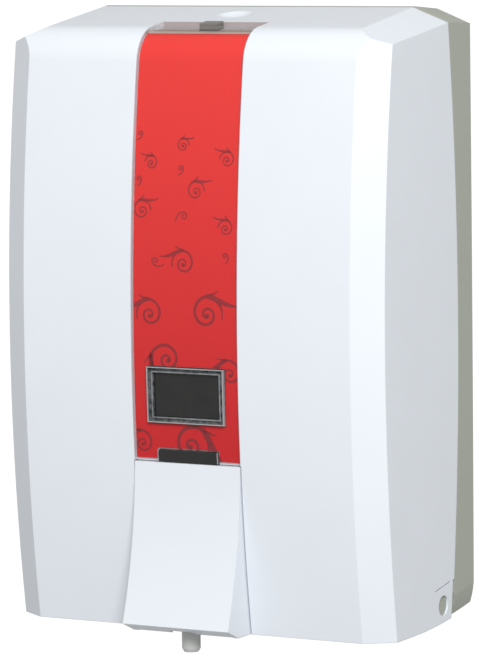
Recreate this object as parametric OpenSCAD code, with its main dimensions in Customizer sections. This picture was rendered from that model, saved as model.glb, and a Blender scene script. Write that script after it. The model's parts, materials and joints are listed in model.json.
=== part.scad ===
// Wall mounted liquid soap dispenser with a push lever and a hinged front cover.
// Millimetres. The back plate's rear face lies on the wall plane Y = 0 and faces +Y.
// The front looks along -Y, +X is to the right and +Z is up.
// The origin is the centre of the rear face.

/* [Body] */
// Overall width at the wall
body_w = 193; // [188:1:200]
// Overall height
body_h = 276.6; // [272:0.1:284]
// Wall thickness of the front cover
cover_t = 2.4; // [2:0.1:2.6]

/* [Refill] */
// Width of the refill bottle
bottle_w = 124; // [90:1:130]
// Height of the refill bottle without its neck
bottle_h = 172; // [120:1:174]

/* [Colours] */
// Colour of the label
label_colour = "crimson"; // [crimson, teal, royalblue, darkorange]

/* [Hidden] */

$fn = 96;
big = 400;      // longer than the whole part, for cutting shapes
cut = 1;        // how far a cut runs past the face it opens
past_wall = 30; // a shape that is cut off at the wall starts this far behind it
trim_back_y = -60;  // cuts and trim around the channel end here, inside the cover

// Height above the bottom edge, turned into a Z value.
function up(h) = h - body_h / 2;

// ---- outer form shared by the cover and the back plate ----
body_d = 95.5;                  // wall to the middle of the front bulge
front_r = 870;                  // radius of the front's vertical bulge
front_mid = 130;                // height of the bulge's middle
front_flat_w = 164;             // width of the front between the two bevels
bevel_d = 8.6;                  // how far each bevel falls back
side_draft = 0.02;              // the sides widen towards the wall by this slope
bevel_w = body_w / 2 - side_draft * (body_d - bevel_d) - front_flat_w / 2;
bevel_angle = atan(bevel_d / bevel_w);
arc_y = front_r - body_d;       // axis of the bulge
arc_z = up(front_mid);

top_break_y = -20.5;             // the top's highest line, close to the parting line
top_slope = 0.144;              // fall of the top towards the front
rear_slope = 0.08;              // fall of the back plate's top towards the wall
top_fillet_r = 17;              // rounding from the front into the top
chamfer_w = 17.7;               // top corner chamfers
chamfer_h = 7.2;
chamfer_rear_slope = 0.055;     // fall of the chamfers towards the wall
foot_r = 45;                    // the back plate's sides round in below foot_top
foot_top = 19;
bottom_r = 320;                 // the underside curves up towards the wall
bottom_break_y = -60;

// Centre of the fillet that touches both the front bulge and the sloping top.
slope_len = sqrt(1 + top_slope * top_slope);
slope_y = 1 / slope_len;
slope_z = top_slope / slope_len;
fillet_dy = top_break_y + top_fillet_r * slope_z - arc_y;
fillet_dz = body_h / 2 - top_fillet_r * slope_y - arc_z;
fillet_b = fillet_dy * slope_y + fillet_dz * slope_z;
fillet_c = pow(fillet_dy, 2) + pow(fillet_dz, 2) - pow(front_r - top_fillet_r, 2);
fillet_s = -fillet_b - sqrt(fillet_b * fillet_b - fillet_c);
fillet_y = arc_y + fillet_dy + fillet_s * slope_y;
fillet_z = arc_z + fillet_dz + fillet_s * slope_z;
fillet_len = sqrt(pow(fillet_y - arc_y, 2) + pow(fillet_z - arc_z, 2));

// ---- parting line between the back plate and the cover ----
part_depth = 14.6;              // visible depth of the back plate at mid height
part_r = 1200;                  // the parting line curves forward at the top and bottom
part_z = up(135);
part_gap = 0.35;

// ---- back plate ----
panel_t = 3;
rim_t = 3.2;
rim_front_y = -60;              // the rim and lip are cut from layers behind this line
lip_in = 2.8;                   // locating lip, just inside the cover wall
lip_t = 1.4;
lip_out = 4;                    // how far the lip reaches past the parting line
lip_from = 40;                  // the lip starts this high, clear of the hinge
wall_hole_r = 2.5;
wall_hole_x = 60;
wall_hole_z = 92;

// ---- bottom hinge ----
hinge_y = -31.2;
hinge_h = 9;
hinge_hole_r = 4.6;
hinge_pin_r = 4.5;
hinge_shank_r = 3;
hinge_shank_hole_r = 3.05;
arm_x0 = 84;
arm_x1 = 92.7;
arm_r = 5;
pin_end_x = 94.9;
pin_root_x = 86;
pin_gap = 0.1;
sweep_r = 11.6;                 // space the cover's lower corner turns through
tab_top = 19.3;                 // the flexible hinge tab is below this height
tab_short = 1.2;                // the tab's rim stops this far short
slit_w = 0.5;
slit_y0 = -39.2;
slit_h0 = 16.2;
slit_y1 = -24.2;
slit_h1 = 18.7;
floor_open_w = 186.2;           // the cover's underside is open round the hinge arms
floor_open_top = 12;
floor_open_y = -40;             // the cover's underside is open behind this line

// ---- channel with the label and its clear window ----
channel_w = 53.6;
channel_d = 2.6;
channel_low = 76.4;
channel_back_y = -61.5;
floor_w = 58.4;
floor_in = 4.6;                 // inside face of the channel's floor
insert_w = 53;
label_w = 52.4;
label_gap = 0.3;                // room round the sight window's ridge
window_in = 0.2;                // how far the clear window lies below the outer form
window_t = 1.4;
window_low = 76.8;
window_back_y = -70.5;
label_in = 1.7;
label_t = 0.8;
label_margin = 0.7;             // room round the notch
label_low = 77.7;
label_top = 266;
sight_w = 38.7;
sight_low = 94;
sight_high = 119.1;
sight_play = 0.1;
outer_ridge = 0.5;              // distances in from the sight window's edge
inner_ridge = 2;
lens_margin = 2.6;
groove_in = 1.9;
lens_gap = 0.4;                 // behind the smoky lens
past_form = 5;                  // cuts from outside start this far off the form
notch_w = 30;
notch_high = 81.9;
clip_play = 0.15;
scoop_r = 17;                   // sphere that presses the finger scoop
scoop_y = -44.5;
scoop_deep = 2;
scoop_skin = 3.6;               // thickness of the top round the scoop
scoop_skin_w = 28;
scoop_skin_y = -33.5;

// ---- push lever ----
lever_w = 53.2;
lever_t = 2.4;
lever_top = 76.1;
lever_bottom = 0.1;
lever_lip = 4.2;                // height of the front's lower edge
lever_edge_y = -106.6;
lever_lip_y = -97;              // where the sloping underside ends
lever_back_y = -79;
cheek_low = 65;                 // the side walls widen to the back below this height
cheek_slant = 8;
lever_open_y = -98;             // the underside is open behind this line
nozzle_slot_w = 12.4;           // and further forward round the nozzle
nozzle_slot_y = -101.2;
open_top = 20;
lever_r = 222;                  // hollow curve of the front
lever_arc_h = 80.7;
lever_front_y = -93.9;          // front of the lever at its top edge
lever_gap = 0.5;
pocket_back_y = -62;            // rear edge of the opening in the cover's underside
axle_y = -86.5;
axle_h = 71;
axle_r = 1.5;
axle_len = 61;
lever_bore_r = 1.6;
ear_bore_r = 1.52;
ear_r = 4.5;
ear_t = 4;
ear_x = 27.1;                   // inner face of the ears
hub_w = 6;
nose_r = 1.8;
nose_x = 5;
nose_w = 4;
nose_play = 0.1;

// ---- pump ----
pump_h = 22;                    // height of the pump's axis
pump_y0 = -72;
pump_y1 = -33;
pump_r = 11;
bore_r = 8;
bore_y1 = -36;
inlet_y = -44;
inlet_r = 3;
inlet_tube_r = 12;
ball_r = 3.5;
ball_h = 40;
ball_cage_r = 4.6;
ball_cage_top = 45;
ball_play = 0.1;
funnel_r = 9;                   // wide mouth of the inlet below the bottle
funnel_low = 47.5;
flange_r = 13.6;
flange_h = 50;
flange_t = 1.5;
head_w = 18;
head_y0 = -97;
head_y1 = -85;
head_low = 15;
head_high = 29;
rod_r = 6;
rod_play = 0.2;
piston_r = 7.7;
piston_y0 = -66;
piston_y1 = -57;
seal_groove_r = 6.6;
seal_y = -61.5;
seal_t = 2.4;
collar_y0 = -74;
collar_y1 = -68.5;
spring_gap = 0.1;
pump_coil_r = 5.8;
pump_coil_wire = 0.9;
pump_coil_turns = 7;
nozzle_y = -92.2;
nozzle_r = 4.2;
nozzle_low = -8.4;
nozzle_high = 13;
nozzle_bore_r = 2.6;
tip_r = 3.3;
tip_h = 1.5;
flute_r = 0.8;
flute_x = 4.4;
flute_top = 6;
valve_low = -6.4;               // lower end of the duckbill valve
valve_h = 6;
valve_ring_t = 3;
duckbill_r = 1.7;
duckbill_h = 4;
duckbill_t = 1;                 // closed end, which the slit opens
duckbill_slit = 0.3;
spout_r = 5.8;
spout_low = 8;
duct_r = 2.4;

// ---- refill ----
bottle_low = 64;
bottle_y0 = -77;
bottle_y1 = -15;
bottle_t = 1.6;
bottle_r = 10;                  // rounding of the bottle's upright edges
neck_r = 14;                    // over the thread
thread_deep = 0.6;
thread_from = 2;                // first ring, above the neck's mouth
thread_pitch = 3;
neck_low = 52.3;
neck_bore_r = 10;
cap_r = 17;
cap_low = 47.8;
cap_high = 61;
cap_bore_r = 14.15;
cap_lip_t = 1.9;
cap_play = 0.3;                 // round the pump's inlet tube
cap_grooves = 24;               // grip grooves round the cap
groove_r = 0.7;
groove_out = 0.2;               // the grooves' centres lie this far outside the cap
shelf_w = 136;
shelf_play = 0.1;               // below the bottle
slot_play = 0.8;                // round the cap
bottle_play = 0.6;              // each side of the bottle
shelf_t = 2.8;
shelf_front_y = -76;
flange_low = 42;                // lower edge of the cradle's screwed flange
cheek_h = 22;
cheek_t = 3;
cheek_front_y = -64;

// ---- bracket screws ----
screw_r = 1.7;
screw_hole_r = 1.75;
screw_head_r = 3.4;
screw_head_t = 2;
cross_w = 4;                    // recess for the screwdriver
cross_t = 0.8;
cross_deep = 0.9;
screw_tip_y = -0.6;
screw_play = 0.1;
seat_gap = 0.05;                // hairline gap left between parts that touch
cradle_screw_x = 50;
cradle_screw_h = 50;
keeper_screw_x = 10;
keeper_screw_h = 252;

// ---- latch ----
button_w = 8.8;
button_y0 = -68.5;
button_y1 = -62.3;
button_low = 257.5;
button_high = 270.2;
button_rise = 1;                // the button's top rises this much to the back
button_play = 0.2;
housing_t = 1.7;
housing_low = 248;
housing_floor = 250;
hook_play = 0.4;
button_travel = 4;
latch_coil_r = 2.6;
latch_coil_wire = 0.7;
latch_coil_turns = 4;
hook_w = 6;
hook_t = 2.5;
hook_end_y = -48.4;
tooth_y = -51.4;
tooth_high = 262.2;
keeper_w = 12;
keeper_low = 264.9;
keeper_t = 2.5;
keeper_lip_y = -54.5;
keeper_lip_t = 2.5;
keeper_lip_low = 262.7;
keeper_foot_w = 28;
keeper_foot_low = 247;

// ================= helpers =================

// Extrudes a side view, drawn as (Y, Z), to both sides of X = 0.
module along_x(width) {
    rotate([90, 0, 90])
        linear_extrude(width, center = true)
            children();
}

// A box given by its corners, with heights measured from the bottom edge.
module block(x0, x1, y0, y1, h0, h1) {
    translate([x0, y0, up(h0)])
        cube([x1 - x0, y1 - y0, h1 - h0]);
}

// The same box, centred on X = 0.
module mid_block(width, y0, y1, h0, h1) {
    block(-width / 2, width / 2, y0, y1, h0, h1);
}

// A cylinder along Y between two Y values.
module rod_y(x, h, r, y0, y1) {
    translate([x, y0, up(h)])
        rotate([-90, 0, 0])
            cylinder(h = y1 - y0, r = r);
}

// A cylinder along X between two X values.
module rod_x(y, h, r, x0, x1) {
    translate([x0, y, up(h)])
        rotate([0, 90, 0])
            cylinder(h = x1 - x0, r = r);
}

// An upright cylinder between two heights.
module rod_z(x, y, r, h0, h1) {
    translate([x, y, up(h0)])
        cylinder(h = h1 - h0, r = r);
}

// The left and right copy of something.
module both_sides() {
    for (side = [0, 1])
        mirror([side, 0, 0])
            children();
}

// A closed coil spring along +Z, made as one twisted strip.
module coil(outer_r, wire, length, turns) {
    steps = 8;
    sweep = 180 / steps;
    inner_r = outer_r - wire;
    linear_extrude(length, twist = -360 * turns, slices = 16 * turns, $fn = 8)
        polygon(concat(
            [for (i = [0:steps]) [outer_r * cos(i * sweep), outer_r * sin(i * sweep)]],
            [for (i = [steps:-1:0]) [inner_r * cos(i * sweep), inner_r * sin(i * sweep)]]
        ));
}

// ================= outer form =================

// Body of revolution that carries the bulging front, the bevels and the sides.
module bulge(inset) {
    side_x = body_w / 2 - side_draft * (body_d - bevel_d) - inset;
    corner_x = front_flat_w / 2 - inset * tan(bevel_angle / 2);
    corner_r = front_r - bevel_d - inset * tan(45 - bevel_angle / 2);
    inner_r = front_r - body_d - 2 * past_wall;
    inner_x = side_x + side_draft * (corner_r - inner_r);
    translate([0, arc_y, arc_z])
        rotate([0, 90, 0])
            rotate_extrude($fn = 1440)
                polygon([
                    [front_r - inset, -corner_x],
                    [front_r - inset, corner_x],
                    [corner_r, side_x],
                    [inner_r, inner_x],
                    [inner_r, -inner_x],
                    [corner_r, -side_x]
                ]);
}

// Side view: sloping top, fillet into the front, underside curving up to the wall.
module side_view(inset) {
    rear_len = sqrt(1 + rear_slope * rear_slope);
    break_y = top_break_y + inset * (slope_len - rear_len) / (top_slope + rear_slope);
    break_z = body_h / 2 - inset * slope_len + top_slope * (break_y - top_break_y);
    difference() {
        polygon([
            [past_wall, up(inset)],
            [-big / 2, up(inset)],
            [-big / 2, break_z + top_slope * (-big / 2 - break_y)],
            [break_y, break_z],
            [past_wall, break_z - rear_slope * (past_wall - break_y)]
        ]);
        fillet_waste(top_fillet_r - inset);
        // underside
        difference() {
            translate([bottom_break_y, up(-foot_top)])
                square([big, 2 * foot_top + cut]);
            translate([bottom_break_y, up(bottom_r)])
                circle(r = bottom_r - inset, $fn = 1440);
        }
    }
}

// What the fillet removes: a wedge between its two tangent points, outside its circle.
module fillet_waste(r) {
    reach = 60;
    front_y = reach * (fillet_y - arc_y) / fillet_len;
    front_z = reach * (fillet_z - arc_z) / fillet_len;
    above_y = -reach * slope_z;
    above_z = reach * slope_y;
    translate([fillet_y, fillet_z])
        difference() {
            polygon([[0, 0], [above_y, above_z],
                [above_y + front_y, above_z + front_z], [front_y, front_z]]);
            circle(r = r);
        }
}

// Space above the chamfer plane of the right top corner, falling forward by slope.
module corner_space(inset, slope) {
    size = 60;
    translate([body_w / 2, top_break_y, body_h / 2 - chamfer_h])
        rotate([atan(slope), 0, 0])
            rotate([0, atan(chamfer_h / chamfer_w), 0])
                translate([-size, -big / 2, -inset])
                    cube([2 * size, big, size]);
}

// The whole outer form, or the same form with every face moved in by inset.
module form(inset) {
    difference() {
        intersection() {
            bulge(inset);
            along_x(big)
                side_view(inset);
        }
        both_sides() {
            corner_space(inset, -chamfer_rear_slope);
            corner_space(inset, top_slope);
        }
    }
}

// Layer of the form between two insets.
module layer(outer, inner) {
    difference() {
        form(outer);
        form(inner);
    }
}

// Everything in front of the parting line, moved towards the wall by shift.
module front_zone(shift) {
    along_x(big)
        translate([-part_depth - part_r + shift, part_z])
            circle(r = part_r, $fn = 1440);
}

// ================= back plate and what it carries =================

module back_plate() {
    color([0.60, 0.62, 0.57])
    difference() {
        union() {
            // rear panel
            intersection() {
                form(0);
                block(-big / 2, big / 2, -panel_t, 0, 0, body_h);
            }
            // rim up to the parting line
            difference() {
                intersection() {
                    layer(0, rim_t);
                    block(-big / 2, big / 2, rim_front_y, 0, 0, body_h);
                }
                front_zone(part_gap);
            }
            // lip that locates the cover
            difference() {
                intersection() {
                    layer(lip_in, lip_in + lip_t);
                    block(-big / 2, big / 2, rim_front_y, -panel_t, lip_from, body_h);
                }
                front_zone(-lip_out);
            }
            // hinge arms
            both_sides() {
                block(arm_x0, arm_x1, hinge_y, -panel_t + cut, hinge_h - arm_r, hinge_h + arm_r);
                rod_x(hinge_y, hinge_h, arm_r, arm_x0, arm_x1);
            }
        }
        both_sides() {
            // space for the cover's lower corners to turn
            rod_x(hinge_y, hinge_h, sweep_r, arm_x1, body_w / 2 + cut);
            rod_x(hinge_y, hinge_h, hinge_shank_hole_r, pin_root_x, arm_x1 + cut);
            foot_waste();
        }
        // wall screw holes
        for (x = [-wall_hole_x, wall_hole_x], z = [-wall_hole_z, wall_hole_z])
            rod_y(x, z + body_h / 2, wall_hole_r, -panel_t - cut, cut);
        bracket_holes();
    }
}

// What is taken off outside the large rounding of the right lower corner.
module foot_waste() {
    foot_x = body_w / 2 - foot_r;
    difference() {
        block(foot_x, body_w / 2 + cut, rim_front_y, cut, -cut, foot_top);
        rod_y(foot_x, foot_top, foot_r, rim_front_y - cut, 2 * cut);
    }
}

// Blind holes in the rear panel for the bracket screws.
module bracket_holes() {
    for (x = [-cradle_screw_x, cradle_screw_x])
        rod_y(x, cradle_screw_h, screw_hole_r, -panel_t - cut, screw_tip_y + screw_play);
    for (x = [-keeper_screw_x, keeper_screw_x])
        rod_y(x, keeper_screw_h, screw_hole_r, -panel_t - cut, screw_tip_y + screw_play);
}

module hinge_pins() {
    color([0.58, 0.59, 0.55])
    both_sides() {
        rod_x(hinge_y, hinge_h, hinge_shank_r, pin_root_x + pin_gap, arm_x1 + 2 * pin_gap);
        rod_x(hinge_y, hinge_h, hinge_pin_r, arm_x1 + pin_gap, pin_end_x);
    }
}

module refill_cradle() {
    shelf_top = bottle_low - shelf_play;
    shelf_low = shelf_top - shelf_t;
    slot_w = 2 * (cap_r + slot_play);
    rear_y = -panel_t - seat_gap;
    cheek_x = bottle_w / 2 + bottle_play;
    color([0.86, 0.87, 0.86])
    difference() {
        union() {
            mid_block(shelf_w, shelf_front_y, rear_y, shelf_low, shelf_top);
            // flange that is screwed to the back plate
            mid_block(shelf_w, -panel_t - shelf_t, rear_y, flange_low, shelf_top);
            // cheeks that steady the bottle
            both_sides()
                block(cheek_x, cheek_x + cheek_t, cheek_front_y, rear_y,
                    shelf_low, shelf_top + cheek_h);
        }
        // slot for the bottle's neck and cap, open to the front
        mid_block(slot_w, shelf_front_y - cut, inlet_y, shelf_low - cut, shelf_top + cut);
        rod_z(0, inlet_y, slot_w / 2, shelf_low - cut, shelf_top + cut);
        for (x = [-cradle_screw_x, cradle_screw_x])
            rod_y(x, cradle_screw_h, screw_hole_r, -panel_t - shelf_t - cut, 0);
    }
}

module latch_keeper() {
    foot_y = -panel_t - keeper_t;
    color([0.72, 0.73, 0.74])
    difference() {
        union() {
            mid_block(keeper_w, keeper_lip_y, foot_y + cut, keeper_low, keeper_low + keeper_t);
            mid_block(keeper_w, keeper_lip_y, keeper_lip_y + keeper_lip_t,
                keeper_lip_low, keeper_low + keeper_t);
            mid_block(keeper_foot_w, foot_y, -panel_t - seat_gap,
                keeper_foot_low, keeper_low + keeper_t);
        }
        for (x = [-keeper_screw_x, keeper_screw_x])
            rod_y(x, keeper_screw_h, screw_hole_r, foot_y - cut, 0);
    }
}

// A pan head screw along +Y, with its head in front of seat_y.
module screw(x, h, seat_y) {
    difference() {
        rod_y(x, h, screw_head_r, seat_y - screw_head_t, seat_y - seat_gap);
        // cross recess
        for (turn = [0, 90])
            translate([x, seat_y - screw_head_t, up(h)])
                rotate([0, turn, 0])
                    cube([cross_w, 2 * cross_deep, cross_t], center = true);
    }
    rod_y(x, h, screw_r, seat_y - screw_head_t / 2, screw_tip_y);
}

module bracket_screws() {
    color("silver") {
        for (x = [-cradle_screw_x, cradle_screw_x])
            screw(x, cradle_screw_h, -panel_t - shelf_t);
        for (x = [-keeper_screw_x, keeper_screw_x])
            screw(x, keeper_screw_h, -panel_t - keeper_t);
    }
}

// ================= refill =================

// Bottle outline seen from above, shrunk by inset.
module bottle_plan(inset) {
    r = bottle_r - inset;
    x = bottle_w / 2 - bottle_r;
    y0 = bottle_y0 + bottle_r;
    y1 = bottle_y1 - bottle_r;
    for (px = [-x, x], py = [y0, y1])
        translate([px, py])
            circle(r = r);
    translate([-x - r, y0])
        square([2 * (x + r), y1 - y0]);
    translate([-x, y0 - r])
        square([2 * x, y1 - y0 + 2 * r]);
}

module refill_bottle() {
    color([0.93, 0.94, 0.90])
    difference() {
        union() {
            translate([0, 0, up(bottle_low)])
                linear_extrude(bottle_h)
                    bottle_plan(0);
            rod_z(0, inlet_y, neck_r - thread_deep, neck_low, bottle_low + cut);
            // two turns of thread, drawn as rings
            for (h = [neck_low + thread_from, neck_low + thread_from + thread_pitch])
                rod_z(0, inlet_y, neck_r, h, h + 2 * thread_deep);
        }
        translate([0, 0, up(bottle_low + bottle_t)])
            linear_extrude(bottle_h - 2 * bottle_t)
                bottle_plan(bottle_t);
        rod_z(0, inlet_y, neck_bore_r, neck_low - cut, bottle_low + bottle_t + cut);
    }
}

module bottle_cap() {
    color([0.80, 0.82, 0.83])
    difference() {
        rod_z(0, inlet_y, cap_r, cap_low, cap_high);
        rod_z(0, inlet_y, cap_bore_r, cap_low + cap_lip_t, cap_high + cut);
        rod_z(0, inlet_y, inlet_tube_r + cap_play, cap_low - cut, cap_high);
        for (i = [0:cap_grooves - 1])
            translate([0, inlet_y, 0])
                rotate([0, 0, i * 360 / cap_grooves])
                    rod_z(cap_r + groove_out, 0, groove_r, cap_low - cut, cap_high + cut);
    }
}

module cap_gasket() {
    color([0.25, 0.26, 0.27])
    difference() {
        rod_z(0, inlet_y, flange_r, flange_h + flange_t + seat_gap, neck_low - seat_gap);
        rod_z(0, inlet_y, neck_bore_r, flange_h, neck_low + cut);
    }
}

// ================= pump =================

module pump_body() {
    color([0.90, 0.92, 0.93])
    difference() {
        union() {
            rod_y(0, pump_h, pump_r, pump_y0, pump_y1);
            rod_z(0, inlet_y, inlet_tube_r, pump_h + bore_r, flange_h + cut);
            rod_z(0, inlet_y, flange_r, flange_h, flange_h + flange_t);
        }
        rod_y(0, pump_h, bore_r, pump_y0 - cut, bore_y1);
        // inlet passage, with a cage for the ball
        rod_z(0, inlet_y, inlet_r, pump_h, flange_h);
        rod_z(0, inlet_y, ball_cage_r, ball_h - ball_r - ball_play, ball_cage_top);
        rod_z(0, inlet_y, funnel_r, funnel_low, flange_h + flange_t + cut);
    }
}

// Stepped ring that closes the pump and guides the plunger's rod.
module pump_collar() {
    color([0.80, 0.82, 0.83])
    difference() {
        union() {
            rod_y(0, pump_h, bore_r - seat_gap, collar_y0, collar_y1);
            rod_y(0, pump_h, pump_r, collar_y0, pump_y0 - seat_gap);
        }
        rod_y(0, pump_h, rod_r + rod_play, collar_y0 - cut, collar_y1 + cut);
    }
}

module pump_spring() {
    color("silver")
    translate([0, piston_y1 + spring_gap, up(pump_h)])
        rotate([-90, 0, 0])
            coil(pump_coil_r, pump_coil_wire, bore_y1 - piston_y1 - 2 * spring_gap, pump_coil_turns);
}

module inlet_ball() {
    color("gainsboro")
    translate([0, inlet_y, up(ball_h)])
        sphere(r = ball_r);
}

module plunger() {
    color([0.93, 0.94, 0.95])
    difference() {
        union() {
            mid_block(head_w, head_y0, head_y1, head_low, head_high);
            rod_z(0, nozzle_y, spout_r, spout_low, head_low + cut);
            rod_y(0, pump_h, rod_r, head_y1 - cut, piston_y0 + cut);
            rod_y(0, pump_h, piston_r, piston_y0, piston_y1);
        }
        // groove for the seal
        difference() {
            rod_y(0, pump_h, piston_r + cut, seal_y - seal_t / 2, seal_y + seal_t / 2);
            rod_y(0, pump_h, seal_groove_r, seal_y - seal_t, seal_y + seal_t);
        }
        // duct from the piston to the nozzle
        rod_y(0, pump_h, duct_r, nozzle_y, piston_y1 + cut);
        rod_z(0, nozzle_y, duct_r, nozzle_high - cut, pump_h);
        rod_z(0, nozzle_y, nozzle_r + seat_gap, spout_low - cut, nozzle_high);
    }
}

module piston_seal() {
    color([0.22, 0.23, 0.24])
    difference() {
        rod_y(0, pump_h, bore_r - seat_gap, seal_y - seal_t / 2 + seat_gap,
            seal_y + seal_t / 2 - seat_gap);
        rod_y(0, pump_h, seal_groove_r + seat_gap, seal_y - seal_t, seal_y + seal_t);
    }
}

module nozzle() {
    color([0.84, 0.85, 0.84])
    difference() {
        union() {
            rod_z(0, nozzle_y, nozzle_r, nozzle_low + tip_h, nozzle_high - 2 * seat_gap);
            // tapered tip
            translate([0, nozzle_y, up(nozzle_low)])
                cylinder(h = tip_h, r1 = tip_r, r2 = nozzle_r);
        }
        rod_z(0, nozzle_y, nozzle_bore_r, nozzle_low - cut, nozzle_high);
        // flute down each side
        for (x = [-flute_x, flute_x])
            rod_z(x, nozzle_y, flute_r, nozzle_low - cut, flute_top);
    }
}

module drip_valve() {
    color([0.75, 0.78, 0.80])
    difference() {
        union() {
            rod_z(0, nozzle_y, nozzle_bore_r - seat_gap, valve_low + valve_h - valve_ring_t,
                valve_low + valve_h);
            rod_z(0, nozzle_y, duckbill_r, valve_low, valve_low + duckbill_h);
        }
        rod_z(0, nozzle_y, duckbill_r / 2, valve_low + duckbill_t, valve_low + valve_h + cut);
        // slit of the duckbill
        translate([0, nozzle_y, up(valve_low)])
            cube([duckbill_r, duckbill_slit, 4 * duckbill_t], center = true);
    }
}

// ================= cover and its trim =================

// Box in front of the channel's rear edge, as wide as the channel's contents.
module channel_box(width, back_y, low) {
    mid_block(width, -big / 2, back_y, low, big);
}

// Finger scoop pressed into the sloping top behind the latch button.
module finger_scoop() {
    top_here = body_h + top_slope * (scoop_y - top_break_y);
    translate([0, scoop_y, up(top_here) - scoop_deep + scoop_r])
        sphere(r = scoop_r, $fn = 180);
}

module front_cover() {
    color([0.94, 0.95, 0.97])
    difference() {
        intersection() {
            union() {
                layer(0, cover_t);
                // floor of the channel
                intersection() {
                    layer(0, floor_in);
                    channel_box(floor_w, channel_back_y + cover_t, channel_low);
                }
                // thicker skin under the finger scoop
                intersection() {
                    layer(0, scoop_skin);
                    mid_block(scoop_skin_w, channel_back_y, scoop_skin_y, 0, big);
                }
                // ears that hold the lever's axle
                intersection() {
                    form(cover_t / 2);
                    both_sides() {
                        block(ear_x, ear_x + ear_t, -body_d, axle_y,
                            axle_h - ear_r, axle_h + ear_r);
                        rod_x(axle_y, axle_h, ear_r, ear_x, ear_x + ear_t);
                    }
                }
            }
            front_zone(0);
        }
        // channel
        intersection() {
            layer(-past_form, channel_d);
            channel_box(channel_w, channel_back_y, channel_low);
        }
        // sight window and the notch above the lever
        sight_box(0);
        mid_block(notch_w, -big / 2, trim_back_y, channel_low - cut, notch_high);
        // opening for the lever, nozzle and pump
        mid_block(lever_w + 2 * lever_gap, -big / 2, pocket_back_y, -cut, channel_low);
        // underside left open round the hinge arms
        mid_block(floor_open_w, floor_open_y, 0, -cut, floor_open_top);
        both_sides() {
            rod_x(hinge_y, hinge_h, hinge_hole_r, arm_x1 - cut, body_w);
            // shortened rim of the hinge tab
            difference() {
                block(arm_x0, body_w, slit_y0, 0, -cut, tab_top);
                front_zone(-tab_short);
            }
            slit_cut();
        }
        // latch button
        mid_block(button_w + 2 * button_play, button_y0 - button_play, button_y1 + button_play,
            housing_floor, body_h);
        finger_scoop();
        both_sides()
            rod_x(axle_y, axle_h, ear_bore_r, ear_x - cut, ear_x + ear_t + cut);
    }
}

// Thin slanting cut through the right side wall that lets the hinge tab flex.
module slit_cut() {
    rise = atan((slit_h1 - slit_h0) / (slit_y1 - slit_y0));
    translate([arm_x0, slit_y0, up(slit_h0)])
        rotate([rise, 0, 0])
            cube([body_w, slit_y1 - slit_y0, slit_w]);
}

module clear_window() {
    color([0.85, 0.90, 0.92, 0.35])
    difference() {
        intersection() {
            layer(window_in, window_in + window_t);
            channel_box(insert_w, window_back_y, window_low);
        }
        sight_box(0);
        mid_block(notch_w, -big / 2, trim_back_y, 0, notch_high);
    }
}

module label_insert() {
    color(label_colour)
    difference() {
        intersection() {
            layer(label_in, label_in + label_t);
            mid_block(label_w, -big / 2, trim_back_y, label_low, label_top);
        }
        sight_box(-label_gap);
        mid_block(notch_w + 2 * label_margin, -big / 2, trim_back_y, 0, notch_high + label_margin);
    }
}

// The sight window's opening, shrunk by margin.
module sight_box(margin) {
    mid_block(sight_w - 2 * margin, -big / 2, trim_back_y,
        sight_low + margin, sight_high - margin);
}

module sight_frame() {
    color([0.55, 0.56, 0.57])
    difference() {
        intersection() {
            layer(0, floor_in - sight_play);
            sight_box(sight_play);
        }
        // groove between the outer and the lower inner ridge
        intersection() {
            layer(-past_form, groove_in);
            difference() {
                sight_box(outer_ridge);
                sight_box(inner_ridge);
            }
        }
        intersection() {
            layer(-past_form, groove_in / 2);
            sight_box(outer_ridge);
        }
        sight_box(lens_margin);
    }
}

module sight_lens() {
    color([0.12, 0.12, 0.13])
    intersection() {
        layer(cover_t, floor_in - lens_gap);
        sight_box(lens_margin + seat_gap);
    }
}

module window_clip() {
    color([0.13, 0.14, 0.15])
    intersection() {
        layer(cover_t / 2, floor_in - clip_play);
        mid_block(notch_w - 2 * clip_play, -big / 2, trim_back_y,
            channel_low + clip_play, notch_high - clip_play);
    }
}

// ================= lever =================

// Side view of the lever with every outer face moved in by inset.
module lever_view(inset) {
    low = lever_bottom + inset;
    far_y = 2 * lever_lip_y;
    lip_slope = (lever_lip - lever_bottom) / (lever_lip_y - lever_edge_y);
    difference() {
        polygon([
            [lever_back_y, up(low)],
            [lever_lip_y, up(low)],
            [far_y, up(low + lip_slope * (lever_lip_y - far_y))],
            [far_y, up(lever_top - inset)],
            [axle_y + ear_r, up(lever_top - inset)],
            [axle_y + ear_r, up(cheek_low)],
            [lever_back_y, up(cheek_low - cheek_slant)]
        ]);
        translate([lever_front_y - lever_r, up(lever_arc_h)])
            circle(r = lever_r + inset, $fn = 720);
    }
}

module push_lever() {
    inner_w = lever_w - 2 * lever_t;
    color([0.95, 0.96, 0.98])
    difference() {
        union() {
            difference() {
                along_x(lever_w)
                    lever_view(0);
                intersection() {
                    along_x(inner_w)
                        lever_view(lever_t);
                    mid_block(inner_w, -big / 2, 0, 0, lever_top - lever_t);
                }
                // open underside and open back
                mid_block(inner_w, lever_open_y, 0, -cut, open_top);
                mid_block(nozzle_slot_w, nozzle_slot_y, 0, -cut, open_top);
                mid_block(inner_w, axle_y - 2 * axle_r, 0, open_top - cut, lever_top + cut);
            }
            // hubs on the axle
            both_sides()
                rod_x(axle_y, axle_h, ear_r, lever_w / 2 - hub_w, lever_w / 2);
            // rounded noses that push the plunger
            both_sides()
                nose();
        }
        rod_x(axle_y, axle_h, lever_bore_r, -lever_w, lever_w);
    }
}

// One rounded rib behind the lever's front, ending just short of the plunger.
module nose() {
    nose_y = head_y0 - nose_play - nose_r;
    rod_x(nose_y, pump_h, nose_r, nose_x - nose_w / 2, nose_x + nose_w / 2);
}

module lever_axle() {
    color("silver")
    rod_x(axle_y, axle_h, axle_r, -axle_len / 2, axle_len / 2);
}

// ================= latch =================

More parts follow.
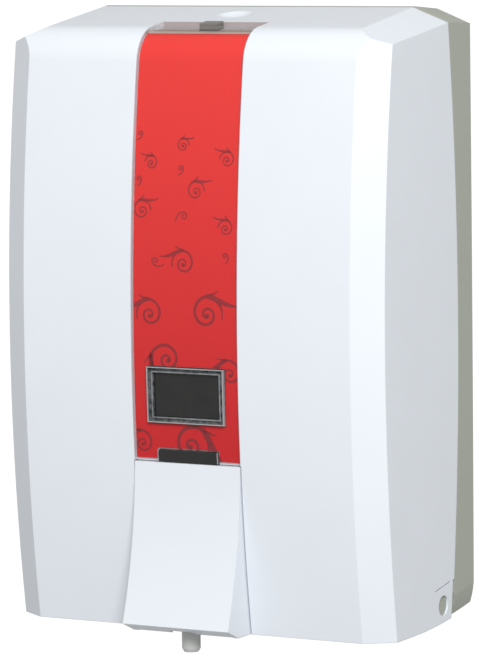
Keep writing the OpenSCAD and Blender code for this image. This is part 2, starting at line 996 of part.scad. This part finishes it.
module latch_housing() {
    half = button_w / 2 + button_play;
    color([0.88, 0.89, 0.90])
    difference() {
        intersection() {
            form(floor_in + seat_gap);
            mid_block(2 * (half + housing_t), button_y0 - button_play - housing_t,
                button_y1 + button_play + housing_t, housing_low, body_h);
        }
        mid_block(2 * half, button_y0 - button_play, button_y1 + button_play,
            housing_floor, body_h);
        // slot for the hook, with room for the button's travel
        mid_block(hook_w + 2 * hook_play, button_y1 - cut, hook_end_y,
            button_low - button_travel, button_low + hook_t + hook_play);
    }
}

module latch_spring() {
    color("silver")
    translate([0, (button_y0 + button_y1) / 2, up(housing_floor + spring_gap)])
        coil(latch_coil_r, latch_coil_wire, button_low - housing_floor - 2 * spring_gap,
            latch_coil_turns);
}

module latch_button() {
    color([0.45, 0.44, 0.42]) {
        along_x(button_w)
            polygon([
                [button_y0, up(button_low)],
                [button_y1, up(button_low)],
                [button_y1, up(button_high + button_rise)],
                [button_y0, up(button_high)]
            ]);
        mid_block(hook_w, button_y1 - cut, hook_end_y, button_low, button_low + hook_t);
        mid_block(hook_w, tooth_y, hook_end_y, button_low, tooth_high);
    }
}

back_plate();
hinge_pins();
refill_cradle();
latch_keeper();
bracket_screws();
refill_bottle();
bottle_cap();
cap_gasket();
pump_body();
pump_collar();
pump_spring();
inlet_ball();
plunger();
piston_seal();
nozzle();
drip_valve();
front_cover();
clear_window();
label_insert();
sight_frame();
sight_lens();
window_clip();
lever_axle();
latch_housing();
latch_spring();
push_lever();
latch_button();
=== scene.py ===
"""Looks of a wall mounted soap dispenser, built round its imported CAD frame.

Everything is in metres, in the frame's own axes: -Y is the front, +X the right and +Z up.
"""

import json
import math

import bmesh
import bpy
from mathutils import Matrix, Vector


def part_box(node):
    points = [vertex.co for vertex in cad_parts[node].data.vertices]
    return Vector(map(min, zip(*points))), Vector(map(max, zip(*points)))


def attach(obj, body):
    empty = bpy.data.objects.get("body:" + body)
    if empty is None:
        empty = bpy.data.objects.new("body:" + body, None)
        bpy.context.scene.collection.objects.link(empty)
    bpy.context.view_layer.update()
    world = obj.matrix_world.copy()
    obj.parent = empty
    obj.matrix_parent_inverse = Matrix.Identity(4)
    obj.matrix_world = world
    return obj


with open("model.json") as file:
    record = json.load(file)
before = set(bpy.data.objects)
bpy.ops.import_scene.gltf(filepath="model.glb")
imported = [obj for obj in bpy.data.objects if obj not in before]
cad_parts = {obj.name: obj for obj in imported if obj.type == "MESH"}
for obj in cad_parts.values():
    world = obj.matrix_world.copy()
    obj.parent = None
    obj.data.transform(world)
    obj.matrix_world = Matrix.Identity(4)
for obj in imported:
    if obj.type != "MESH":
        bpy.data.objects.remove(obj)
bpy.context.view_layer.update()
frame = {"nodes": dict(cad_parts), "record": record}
MM = 0.001
WHITE = (1.0, 1.0, 1.0, 1.0)

# ---------------------------------------------------------------- camera

CAM_AZIMUTH = 28.0          # degrees to the right of the front
CAM_ELEVATION = 6.30        # degrees above the level
CAM_ROLL = -0.74            # degrees
CAM_TARGET = Vector((0.0066, -0.0550, -0.0054))
CAM_DISTANCE = 1.827
CAM_LENS = 222.5            # mm on a 36 mm sensor
CAM_NEAR, CAM_FAR = 0.1, 500.0


def make_camera():
    azimuth, elevation = math.radians(CAM_AZIMUTH), math.radians(CAM_ELEVATION)
    level = Vector((math.sin(azimuth), -math.cos(azimuth), 0.0))
    back = level * math.cos(elevation) + Vector((0.0, 0.0, math.sin(elevation)))
    data = bpy.data.cameras.new("camera")
    data.lens = CAM_LENS
    data.clip_start, data.clip_end = CAM_NEAR, CAM_FAR
    camera = bpy.data.objects.new("camera", data)
    bpy.context.scene.collection.objects.link(camera)
    camera.rotation_mode = "QUATERNION"
    roll = Matrix.Rotation(math.radians(CAM_ROLL), 3, "Z").to_quaternion()
    camera.rotation_quaternion = (-back).to_track_quat("-Z", "Y") @ roll
    camera.location = CAM_TARGET + back * CAM_DISTANCE
    bpy.context.scene.camera = camera


make_camera()

# ---------------------------------------------------------------- node building

MIX_A, MIX_B, MIX_OUT = 6, 7, 2     # the colour sockets of a Mix node


class Nodes:
    """Builds one material's node tree with short calls."""

    def __init__(self, name):
        self.material = bpy.data.materials.new(name)
        self.material.use_nodes = True
        self.tree = self.material.node_tree
        self.tree.nodes.clear()
        self.coordinates = self.add("ShaderNodeTexCoord")
        self.place = self.coordinates.outputs["Object"]

    def add(self, kind, inputs=None, **settings):
        """A new node. An input is a plain value, or another node's output to link."""
        node = self.tree.nodes.new(kind)
        for key, value in settings.items():
            setattr(node, key, value)
        for key, value in (inputs or {}).items():
            if isinstance(value, bpy.types.NodeSocket):
                self.tree.links.new(value, node.inputs[key])
            else:
                node.inputs[key].default_value = value
        return node

    def noise(self, size, detail=2.0, stretch=None):
        """Soft noise from 0 to 1 with spots of about that size, drawn out along an axis by stretch."""
        place = self.place
        if stretch:
            place = self.add("ShaderNodeMapping", {"Vector": place, "Scale": stretch}).outputs[0]
        inputs = {"Vector": place, "Scale": 1 / size, "Detail": detail}
        return self.add("ShaderNodeTexNoise", inputs).outputs[0]

    def between(self, value, low, high, start=0.0, end=1.0):
        """Maps value from the range start..end to low..high."""
        inputs = {"Value": value, "From Min": start, "From Max": end, "To Min": low, "To Max": high}
        return self.add("ShaderNodeMapRange", inputs).outputs[0]

    def step(self, value, place, soft, rising=True):
        """Goes from 0 to 1 as value passes place, over twice the distance soft, or back from 1 to 0."""
        low, high = (0.0, 1.0) if rising else (1.0, 0.0)
        return self.between(value, low, high, start=place - soft, end=place + soft)

    def mix(self, factor, first, second):
        """Blends two colours, each a tuple or an output."""
        inputs = {0: factor, MIX_A: opaque(first), MIX_B: opaque(second)}
        return self.add("ShaderNodeMix", inputs, data_type="RGBA").outputs[MIX_OUT]

    def product(self, first, second):
        return self.add("ShaderNodeMath", {0: first, 1: second}, operation="MULTIPLY").outputs[0]

    def bump(self, height, depth, normal=None):
        inputs = {"Height": height, "Distance": depth}
        if normal:
            inputs["Normal"] = normal
        return self.add("ShaderNodeBump", inputs).outputs[0]

    def rounded(self, radius):
        """A normal that rounds edges off by radius, and a mask that is 1 along those edges."""
        soft = self.add("ShaderNodeBevel", {"Radius": radius}, samples=4).outputs[0]
        hard = self.add("ShaderNodeNewGeometry").outputs["Normal"]
        same = self.add("ShaderNodeVectorMath", {0: soft, 1: hard}, operation="DOT_PRODUCT")
        return soft, self.between(same.outputs["Value"], 1.0, 0.0, start=0.8, end=0.99)

    def height(self):
        """Z of the point in the part's own frame, as built."""
        return self.add("ShaderNodeSeparateXYZ", {0: self.place}).outputs["Z"]

    def shader(self, kind, inputs):
        return self.add(kind, inputs).outputs[0]

    def blend(self, factor, first, second):
        return self.add("ShaderNodeMixShader", {0: factor, 1: first, 2: second}).outputs[0]

    def finish(self, surface):
        self.add("ShaderNodeOutputMaterial", {"Surface": surface})
        return self.material


def opaque(colour):
    return (*colour, 1.0) if isinstance(colour, tuple) else colour


def shade(colour, share):
    """The colour made lighter or darker by a share of its own brightness."""
    return tuple(min(1.0, c * share) for c in colour)


# ---------------------------------------------------------------- materials

GRAIN = 0.35 * MM           # size of the moulded surface's fine grain
CLOUD = 25 * MM             # size of its slow changes of tone
MILKY_REACH = (3.0 * MM, 2.4 * MM, 2.0 * MM)    # how far red, green and blue light spread inside it


def plastic(name, colour, rough, grain_depth, edge=0.35 * MM, milky=0.0, recess_shade_colour=None):
    """Moulded plastic: fine grain, slow changes of tone and gloss, and edges rubbed smooth.
    A recess shade colour is a second colour, painted shade which shows in the latch's recess."""
    n = Nodes(name)
    soft, worn = n.rounded(edge)
    cloud = n.noise(CLOUD, detail=3.0)
    grain = n.noise(GRAIN, detail=1.0)
    tone = n.mix(cloud, shade(colour, 0.975), shade(colour, 1.02))
    tone = n.mix(n.product(grain, 0.25), tone, shade(colour, 0.95))
    tone = n.mix(n.product(worn, 0.35), tone, shade(colour, 1.12))
    # painted shade: the recess behind the clear window's top end is darkened to a warm brown
    if recess_shade_colour:
        tone = n.mix(n.product(latch_recess_shade_mask(n), n.between(cloud, 0.75, 0.98)), tone, recess_shade_colour)
    gloss = n.between(cloud, rough - 0.04, rough + 0.05)
    return n.finish(n.shader("ShaderNodeBsdfPrincipled", {
        "Base Color": tone,
        "Roughness": n.between(worn, gloss, rough - 0.08),
        "Subsurface Weight": milky,
        "Subsurface Radius": MILKY_REACH,
        "Subsurface Scale": 1.0,
        "Normal": n.bump(grain, grain_depth, soft),
    }))


COVER_WHITE = (0.755, 0.795, 0.845)
# Painted shade: a warm brown that stands in for the shadow and the red bounce light in that recess.
RECESS_SHADE_COLOUR = (0.33, 0.26, 0.25)
RECESS_DEEP = 5.5 * MM      # below the clear window's top
RECESS_BACK = 9.25 * MM     # behind the clear window's end
RECESS_PAST = 0.25 * MM     # past the clear window's edges


def latch_recess_shade_mask(n):
    """A mask that is 1 in the narrow recess behind the clear window's top end, where shade is painted."""
    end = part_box("clear_window")[1]
    place = n.add("ShaderNodeSeparateXYZ", {0: n.place}).outputs
    across = n.add("ShaderNodeMath", {0: place["X"]}, operation="ABSOLUTE").outputs[0]
    wide = n.step(across, end.x + RECESS_PAST, 0.15 * MM, rising=False)
    behind = n.step(place["Y"], end.y, 0.5 * MM)
    before = n.step(place["Y"], end.y + RECESS_BACK, 0.15 * MM, rising=False)
    above = n.step(place["Z"], end.z - RECESS_DEEP, 0.5 * MM)
    return n.product(n.product(wide, above), n.product(behind, before))


def cover_plastic():
    # the cover's recess colour is painted shade
    return plastic("cover_plastic", COVER_WHITE, 0.33, 0.004 * MM, edge=0.5 * MM, recess_shade_colour=RECESS_SHADE_COLOUR)


def back_plastic():
    return plastic("back_plastic", (0.385, 0.405, 0.350), 0.55, 0.02 * MM, edge=0.4 * MM)


def inner_plastic():
    return plastic("inner_plastic", (0.66, 0.67, 0.67), 0.45, 0.008 * MM)


def pump_plastic():
    return plastic("pump_plastic", (0.78, 0.79, 0.80), 0.30, 0.003 * MM)


def nozzle_plastic():
    return plastic("nozzle_plastic", (0.60, 0.615, 0.60), 0.25, 0.003 * MM, milky=0.25)


def bottle_plastic():
    return plastic("bottle_plastic", (0.76, 0.78, 0.72), 0.38, 0.01 * MM, milky=0.2)


def latch_plastic():
    """Warm grey button, darker towards its lower part."""
    n = Nodes("latch_plastic")
    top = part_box("latch_button")[1].z
    soft, worn = n.rounded(0.3 * MM)
    grain = n.noise(GRAIN)
    rise = n.between(n.height(), 0.0, 1.0, start=top - 5 * MM, end=top)
    tone = n.mix(rise, (0.085, 0.080, 0.075), (0.235, 0.215, 0.190))
    tone = n.mix(n.product(grain, 0.3), tone, (0.06, 0.055, 0.05))
    return n.finish(n.shader("ShaderNodeBsdfPrincipled", {
        "Base Color": n.mix(n.product(worn, 0.4), tone, (0.36, 0.34, 0.31)),
        "Roughness": n.between(grain, 0.38, 0.5),
        "Normal": n.bump(grain, 0.012 * MM, soft),
    }))


def smoke_plastic():
    """Black tinted plastic with a clean gloss."""
    n = Nodes("smoke_plastic")
    soft, worn = n.rounded(0.25 * MM)
    haze = n.noise(6 * MM, detail=4.0)
    tone = n.mix(haze, (0.014, 0.014, 0.014), (0.022, 0.022, 0.021))
    return n.finish(n.shader("ShaderNodeBsdfPrincipled", {
        "Base Color": n.mix(n.product(worn, 0.5), tone, (0.16, 0.165, 0.17)),
        "Roughness": n.between(haze, 0.10, 0.20),
        "Normal": n.bump(haze, 0.003 * MM, soft),
    }))


FRONT_R = 870 * MM          # radius of the front's vertical bulge
FRONT_MID_Z = -8.3 * MM     # height of the bulge's middle
FRONT_AXIS_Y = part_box("front_cover")[0].y + FRONT_R
RIDGE_GROOVE = 1.3 * MM     # how far the ridge's groove lies behind the front
RIDGE_CREST = 0.2 * MM      # and its crest


def frame_plastic():
    """Smoky ridge round the sight window: pale where it stands proud, dark down in its groove."""
    n = Nodes("frame_plastic")
    soft, worn = n.rounded(0.25 * MM)
    axis = (0.0, FRONT_AXIS_Y, FRONT_MID_Z)
    across = n.add("ShaderNodeVectorMath", {0: n.place, 1: axis}, operation="SUBTRACT").outputs[0]
    across = n.add("ShaderNodeVectorMath", {0: across, 1: (0, 1, 1)}, operation="MULTIPLY").outputs[0]
    radius = n.add("ShaderNodeVectorMath", {0: across}, operation="LENGTH").outputs["Value"]
    proud = n.between(radius, 0.0, 1.0, start=FRONT_R - RIDGE_GROOVE, end=FRONT_R - RIDGE_CREST)
    ripple = n.noise(2.5 * MM, detail=3.0)
    streak = n.between(ripple, 0.0, 1.0, start=0.35, end=0.65)
    low_tone = n.mix(streak, (0.03, 0.032, 0.034), (0.17, 0.18, 0.19))
    tone = n.mix(proud, low_tone, n.mix(ripple, (0.30, 0.31, 0.32), (0.46, 0.47, 0.48)))
    return n.finish(n.shader("ShaderNodeBsdfPrincipled", {
        "Base Color": n.mix(n.product(worn, 0.3), tone, (0.55, 0.56, 0.57)),
        "Roughness": n.between(ripple, 0.12, 0.3),
        "Normal": n.bump(ripple, 0.02 * MM, soft),
    }))


LABEL_TOP_RED = (0.88, 0.050, 0.042)
LABEL_LOW_RED = (0.60, 0.012, 0.018)


def label_tone(n):
    """The card's printed red, which deepens downwards, and its height from 0 to 1."""
    low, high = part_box("label_insert")
    rise = n.between(n.height(), 0.0, 1.0, start=low.z, end=high.z)
    return n.mix(rise, LABEL_LOW_RED, LABEL_TOP_RED), rise


def label_print():
    """Coated card with a printed red, a faint printing screen and card fibre."""
    n = Nodes("label_print")
    red, _ = label_tone(n)
    screen = n.noise(0.3 * MM, detail=0.0)
    fibre = n.noise(1.2 * MM, detail=4.0, stretch=(1.0, 1.0, 0.35))
    red = n.mix(n.product(screen, 0.16), red, (0.45, 0.012, 0.018))
    red = n.mix(n.product(fibre, 0.10), red, (0.95, 0.09, 0.08))
    return n.finish(n.shader("ShaderNodeBsdfPrincipled", {
        "Base Color": red,
        "Roughness": n.between(fibre, 0.42, 0.6),
        "Specular IOR Level": 0.2,
        "Normal": n.bump(fibre, 0.006 * MM),
    }))


def scroll_ink():
    """Darker overprint of the scrolls, fainter towards the top of the card."""
    n = Nodes("scroll_ink")
    red, rise = label_tone(n)
    speckle = n.noise(0.5 * MM, detail=2.0)
    dark = n.mix(rise, (0.235, 0.028, 0.036), (0.30, 0.035, 0.040))
    share = n.product(n.between(rise, 1.0, 0.8), n.between(speckle, 0.88, 1.0))
    return n.finish(n.shader("ShaderNodeBsdfPrincipled", {
        "Base Color": n.mix(share, red, dark),
        "Roughness": n.between(speckle, 0.4, 0.55),
        "Specular IOR Level": 0.2,
        "Normal": n.bump(speckle, 0.004 * MM),
    }))


SHADED_STRIP = 1.6 * MM       # height of the strip above the card tinted with painted shade


def clear_plastic():
    """Clear polycarbonate: gloss, faint haze, frosted cut edges and a tan strip of painted shade above
    the card.
    """
    n = Nodes("clear_plastic")
    haze = n.noise(14 * MM, detail=4.0)
    card_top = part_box("label_insert")[1].z
    above_card = n.step(n.height(), card_top - 0.1 * MM, 0.2 * MM)
    below_end = n.step(n.height(), card_top + SHADED_STRIP, 0.2 * MM, rising=False)
    # painted shade: the see-through tint turns warm tan in the strip just above the card
    tint = n.mix(n.product(above_card, below_end), (0.975, 0.975, 0.975), (0.86, 0.79, 0.74))
    clear = n.shader("ShaderNodeBsdfTransparent", {"Color": tint})
    gloss = n.shader("ShaderNodeBsdfGlossy", {"Roughness": n.between(haze, 0.06, 0.16)})
    outside = n.between(n.add("ShaderNodeNewGeometry").outputs["Backfacing"], 1.0, 0.0)
    shine = n.product(n.add("ShaderNodeFresnel", {"IOR": 1.38}).outputs[0], outside)
    face = n.blend(shine, clear, gloss)
    normal = n.add("ShaderNodeVectorMath", {0: n.coordinates.outputs["Normal"]}, operation="ABSOLUTE")
    sideways = n.add("ShaderNodeSeparateXYZ", {0: normal.outputs[0]}).outputs["X"]
    frost = n.shader("ShaderNodeBsdfPrincipled", {
        "Base Color": n.mix(haze, (0.50, 0.52, 0.54), (0.72, 0.75, 0.78)),
        "Roughness": 0.45,
    })
    return n.finish(n.blend(n.between(sideways, 0.0, 0.55, start=0.7, end=0.9), face, frost))


def screw_steel():
    """Zinc plated steel with fine drawn marks and dull patches."""
    n = Nodes("screw_steel")
    soft, worn = n.rounded(0.15 * MM)
    drawn = n.noise(0.5 * MM, detail=3.0, stretch=(1.0, 0.08, 1.0))
    patch = n.noise(4 * MM, detail=3.0)
    tone = n.mix(patch, (0.52, 0.53, 0.55), (0.66, 0.66, 0.67))
    return n.finish(n.shader("ShaderNodeBsdfPrincipled", {
        "Base Color": n.mix(n.product(worn, 0.4), tone, (0.76, 0.76, 0.77)),
        "Metallic": 1.0,
        "Roughness": n.between(drawn, 0.24, 0.42),
        "Normal": n.bump(drawn, 0.004 * MM, soft),
    }))


def seal_rubber():
    """Black rubber with a dusty bloom and a dull grain."""
    n = Nodes("seal_rubber")
    bloom = n.noise(2.5 * MM, detail=4.0)
    grain = n.noise(0.25 * MM)
    return n.finish(n.shader("ShaderNodeBsdfPrincipled", {
        "Base Color": n.mix(bloom, (0.028, 0.028, 0.030), (0.062, 0.061, 0.060)),
        "Roughness": n.between(grain, 0.55, 0.75),
        "Normal": n.bump(grain, 0.015 * MM),
    }))


def ball_glass():
    """Clear glass with a faint film of soap."""
    n = Nodes("ball_glass")
    film = n.noise(1.5 * MM, detail=3.0)
    return n.finish(n.shader("ShaderNodeBsdfPrincipled", {
        "Base Color": n.mix(film, (0.86, 0.90, 0.90), (0.95, 0.98, 0.98)),
        "Roughness": n.between(film, 0.02, 0.10),
        "IOR": 1.5,
        "Transmission Weight": 1.0,
    }))


MATERIALS = {
    make.__name__: make()
    for make in (
        back_plastic, inner_plastic, screw_steel, bottle_plastic, seal_rubber, ball_glass,
        pump_plastic, nozzle_plastic, cover_plastic, clear_plastic, label_print,
        frame_plastic, smoke_plastic, latch_plastic,
    )
}


def paint_frame():
    """Gives every CAD node the material named by its slot in the record."""
    for part in frame["record"]["subparts"]:
        mesh = frame["nodes"][part["node"]].data
        mesh.materials.clear()
        mesh.materials.append(MATERIALS[part["material_slot"]])


paint_frame()

# ---------------------------------------------------------------- scrolls on the label

LABEL_LOW, LABEL_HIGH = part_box("label_insert")
SIGHT_LOW, SIGHT_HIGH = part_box("sight_frame")
CLIP_LOW, CLIP_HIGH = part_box("window_clip")
ACROSS, UP = 0, 2                   # the card's two directions, as axis numbers
CARD_R = FRONT_R - 1.7 * MM         # the card's face
INK_FACE_R = CARD_R + 0.04 * MM     # the ink lies just in front of the card
INK_BACK_R = CARD_R - 0.15 * MM     # and its back is sunk into the card
EDGE_MARGIN = 0.3 * MM              # bare card along its edges
HOLE_MARGIN = 0.5 * MM              # and round the sight window and the notch
THINNEST_LINE = 0.65 * MM

SPIRAL_TURNS = 1.55
SPIRAL_SHRINK = 0.185               # how fast the spiral closes, per radian
STEPS_PER_TURN = 30
LINE_AT_EYE = 0.058                 # half width of a curl's line, as a share of the scroll's size
LINE_GROWTH = 0.032                 # added to it, as a share of the curl's radius at that point
EYE_HALF = 0.13                     # half width of the eye, as a share of the scroll's size


def spiral(size):
    """Centre line of a curl that winds in to its eye, as (x, z, half width), from outside to inside."""
    points = []
    for i in range(round(SPIRAL_TURNS * STEPS_PER_TURN) + 1):
        angle = i * 2 * math.pi / STEPS_PER_TURN
        radius = size * math.exp(-SPIRAL_SHRINK * angle)
        thick = LINE_AT_EYE * size + LINE_GROWTH * radius
        points.append((radius * math.cos(angle), radius * math.sin(angle), thick))
    return points


def swept(start, heading, size, length, bends, widest, steps=22):
    """A stroke that swells and tapers off. Its bend goes evenly from the first of bends to the second."""
    x, z = start
    points = []
    for i in range(steps + 1):
        t = i / steps
        taper = max(0.0, math.sin(math.pi * (0.30 + 0.70 * t))) ** 0.8
        points.append((x, z, size * widest * taper))
        heading += (bends[0] * (1 - t) + bends[1] * t) * length / steps
        x += math.cos(heading) * size * length / steps
        z += math.sin(heading) * size * length / steps
    return points


def eye(size):
    """The round blob at the end of a curl: a short, fat stroke."""
    end_angle = SPIRAL_TURNS * 2 * math.pi
    radius = size * math.exp(-SPIRAL_SHRINK * end_angle)
    x, z = radius * math.cos(end_angle), radius * math.sin(end_angle)
    blob = EYE_HALF * size
    steps = 12
    points = []
    for i in range(steps + 1):
        t = i / steps
        along = 2 * t - 1
        bulge = math.sqrt(1 - along ** 2)
        points.append((x * (1 - t), z * (1 - t) + 0.6 * blob * along, blob * bulge))
    return points


def scroll_strokes(size):
    """One whole scroll round the point (0, 0): a curl, its eye, a long tail and two leaves."""
    return [
        spiral(size),
        eye(size),
        swept((size, 0.12 * size), math.radians(-93), size, 2.1, (-0.55, 0.9), 0.150),
        swept((size, 0), math.radians(-97), size, 1.7, (-0.75, -1.25), 0.085),
        swept((size * 0.98, 0.05 * size), math.radians(-60), size, 0.7, (-0.5, 1.0), 0.06),
    ]


def hook_strokes(size):
    """A small plain hook: half a curl and its tail."""
    half_way = size * math.exp(-SPIRAL_SHRINK * math.pi)
    return [
        spiral(size)[STEPS_PER_TURN // 2:],
        swept((-half_way, 0), math.radians(88), size, 2.2, (-1.1, -0.5), 0.08),
    ]


def on_front(x, z, radius):
    """The point of the bulging front at x and z, at that distance from the bulge's axis."""
    return Vector((x, FRONT_AXIS_Y - math.sqrt(radius ** 2 - (z - FRONT_MID_Z) ** 2), z))


def ribbon(points):
    """A thin closed solid along a line of (x, z, half width) points on the card."""
    solid = bmesh.new()
    rings = []
    for i, (x, z, half) in enumerate(points):
        before, after = points[max(i - 1, 0)], points[min(i + 1, len(points) - 1)]
        along = Vector((after[0] - before[0], after[1] - before[1])).normalized()
        side = Vector((-along.y, along.x)) * max(half, THINNEST_LINE / 2)
        rings.append([
            solid.verts.new(on_front(x + side.x * s, z + side.y * s, radius))
            for s, radius in ((1, INK_FACE_R), (-1, INK_FACE_R), (-1, INK_BACK_R), (1, INK_BACK_R))
        ])
    for a, b in zip(rings, rings[1:]):
        for k in range(4):
            solid.faces.new((a[k], a[(k + 1) % 4], b[(k + 1) % 4], b[k]))
    solid.faces.new(rings[0])
    solid.faces.new(rings[-1])
    bmesh.ops.recalc_face_normals(solid, faces=solid.faces)
    return solid


def keep_side(solid, axis, limit, keep_above):
    """Cuts a closed solid at axis = limit, keeps one side of it and closes it again."""
    if not solid.verts:
        return
    normal = Vector((0, 0, 0))
    normal[axis] = 1.0
    cut = bmesh.ops.bisect_plane(
        solid, geom=solid.verts[:] + solid.edges[:] + solid.faces[:],
        plane_co=normal * limit, plane_no=normal, clear_inner=keep_above, clear_outer=not keep_above,
    )
    rim = [e for e in cut["geom_cut"] if isinstance(e, bmesh.types.BMEdge)]
    if rim:
        bmesh.ops.holes_fill(solid, edges=rim)


def card_pieces(solid):
    """Parts of a solid that lie on the card: inside its edges, outside the sight window and the notch."""
    openings = [
        (SIGHT_LOW.x, SIGHT_HIGH.x, SIGHT_LOW.z, SIGHT_HIGH.z),
        (CLIP_LOW.x, CLIP_HIGH.x, LABEL_LOW.z, CLIP_HIGH.z),
    ]
    keep_side(solid, ACROSS, LABEL_LOW.x + EDGE_MARGIN, True)
    keep_side(solid, ACROSS, LABEL_HIGH.x - EDGE_MARGIN, False)
    keep_side(solid, UP, LABEL_LOW.z + EDGE_MARGIN, True)
    pieces = [solid]
    for left, right, low, high in openings:
        left, right = left - HOLE_MARGIN, right + HOLE_MARGIN
        low, high = low - HOLE_MARGIN, high + HOLE_MARGIN
        sides = [
            [(UP, high, True)],
            [(UP, low, False)],
            [(UP, high, False), (UP, low, True), (ACROSS, left, False)],
            [(UP, high, False), (UP, low, True), (ACROSS, right, True)],
        ]
        cut = []
        for piece in pieces:
            for planes in sides:
                part = piece.copy()
                for plane in planes:
                    keep_side(part, *plane)
                cut.append(part)
            piece.free()
        pieces = cut
    return pieces


def place_strokes(strokes, x, z, turn, flip):
    """Turns a drawing by turn degrees, mirrors it if flip is -1, and moves it to x and z."""
    c, s = math.cos(math.radians(turn)), math.sin(math.radians(turn))
    return [
        [(x + (px * flip) * c - pz * s, z + (px * flip) * s + pz * c, half) for px, pz, half in line]
        for line in strokes
    ]


# Each scroll: x and z of its eye in mm, its size in mm, its turn in degrees, and -1 if mirrored.
SCROLLS = [
    (-2, 79, 3.2, 105, 1),
    (20, 73, 3.9, -110, -1),
    (-18, 71, 3.4, -110, -1),
    (5, 59, 4.6, 105, 1),
    (-22, 50, 4.8, 105, 1),
    (20, 43, 3.9, -110, -1),
    (-1, 27, 6.0, -85, -1),
    (-18, 4, 7.0, -80, -1),
    (11, 5, 8.2, 85, 1),
    (-9.5, -16, 8.2, -15, -1),
    (22, -21, 6.4, -70, -1),
    (-23, -54, 6.0, -75, -1),
    (1.5, -54, 9.6, 45, 1),
]
# Small hooks between them, given the same way.
HOOKS = [
    (-3, 69, 2.2, 210, 1),
    (-1, 48, 3.2, 70, -1),
    (-15, 28, 3.2, 200, -1),
    (20, 31, 2.2, 240, 1),
    (-24, 84, 2.2, 200, 1),
    (-24, 64, 2.2, 220, 1),
]


def make_scrolls():
    """All the printed scrolls as one piece that rides on the cover."""
    mesh = bpy.data.meshes.new("label_scrolls")
    whole = bmesh.new()
    drawings = [(scroll_strokes, s) for s in SCROLLS] + [(hook_strokes, s) for s in HOOKS]
    for strokes_of, (x, z, size, turn, flip) in drawings:
        for line in place_strokes(strokes_of(size * MM), x * MM, z * MM, turn, flip):
            for piece in card_pieces(ribbon(line)):
                if piece.verts:
                    part = bpy.data.meshes.new("part")
                    piece.to_mesh(part)
                    whole.from_mesh(part)
                    bpy.data.meshes.remove(part)
                piece.free()
    bmesh.ops.recalc_face_normals(whole, faces=whole.faces)
    whole.to_mesh(mesh)
    whole.free()
    mesh.materials.append(scroll_ink())
    scrolls = bpy.data.objects.new("label_scrolls", mesh)
    bpy.context.scene.collection.objects.link(scrolls)
    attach(scrolls, "cover")


make_scrolls()

# ---------------------------------------------------------------- floor and light

FLOOR_Z = -1.2              # the dispenser hangs this high over the floor
FLOOR_SIZE = 400.0
AMBIENT = 0.485             # strength of the room's even light
KEY_DIRECTION = Vector((0.46, -0.72, 0.52)).normalized()
KEY_DISTANCE = 2.0
KEY_SIZE = 0.75
KEY_POWER = 33.0            # watts


def make_floor():
    """A plain pale floor. It is shown, but throws no light back on the dispenser."""
    n = Nodes("floor_paint")
    mottle = n.noise(0.4, detail=3.0)
    paint = n.shader("ShaderNodeBsdfPrincipled", {
        "Base Color": n.mix(mottle, (0.90, 0.90, 0.90), (0.93, 0.93, 0.93)),
        "Roughness": 0.8,
        "Emission Color": WHITE,
        "Emission Strength": 0.6,
    })
    half = FLOOR_SIZE / 2
    mesh = bpy.data.meshes.new("floor")
    corners = [(-half, -half, 0), (half, -half, 0), (half, half, 0), (-half, half, 0)]
    mesh.from_pydata(corners, [], [(0, 1, 2, 3)])
    mesh.materials.append(n.finish(paint))
    floor = bpy.data.objects.new("floor", mesh)
    floor.location.z = FLOOR_Z
    floor.visible_diffuse = False
    floor.visible_glossy = False
    floor.visible_transmission = False
    floor.visible_shadow = False
    bpy.context.scene.collection.objects.link(floor)


def make_world():
    """A white room: seen as plain white, and giving an even, softer light."""
    world = bpy.data.worlds.new("studio")
    world.use_nodes = True
    tree = world.node_tree
    tree.nodes.clear()
    light = tree.nodes.new("ShaderNodeBackground")
    light.inputs["Strength"].default_value = AMBIENT
    light.inputs["Color"].default_value = WHITE
    seen = tree.nodes.new("ShaderNodeBackground")
    seen.inputs["Color"].default_value = WHITE
    path = tree.nodes.new("ShaderNodeLightPath")
    either = tree.nodes.new("ShaderNodeMixShader")
    out = tree.nodes.new("ShaderNodeOutputWorld")
    tree.links.new(path.outputs["Is Camera Ray"], either.inputs[0])
    tree.links.new(light.outputs[0], either.inputs[1])
    tree.links.new(seen.outputs[0], either.inputs[2])
    tree.links.new(either.outputs[0], out.inputs["Surface"])
    bpy.context.scene.world = world


def make_key_light():
    """One large soft light, in front, to the right and above."""
    data = bpy.data.lights.new("key", "AREA")
    data.shape = "SQUARE"
    data.size = KEY_SIZE
    data.energy = KEY_POWER
    key = bpy.data.objects.new("key", data)
    key.location = KEY_DIRECTION * KEY_DISTANCE
    key.rotation_mode = "QUATERNION"
    key.rotation_quaternion = (-KEY_DIRECTION).to_track_quat("-Z", "Y")
    bpy.context.scene.collection.objects.link(key)


make_floor()
make_world()
make_key_light()
bpy.context.scene.view_settings.view_transform = "Standard"
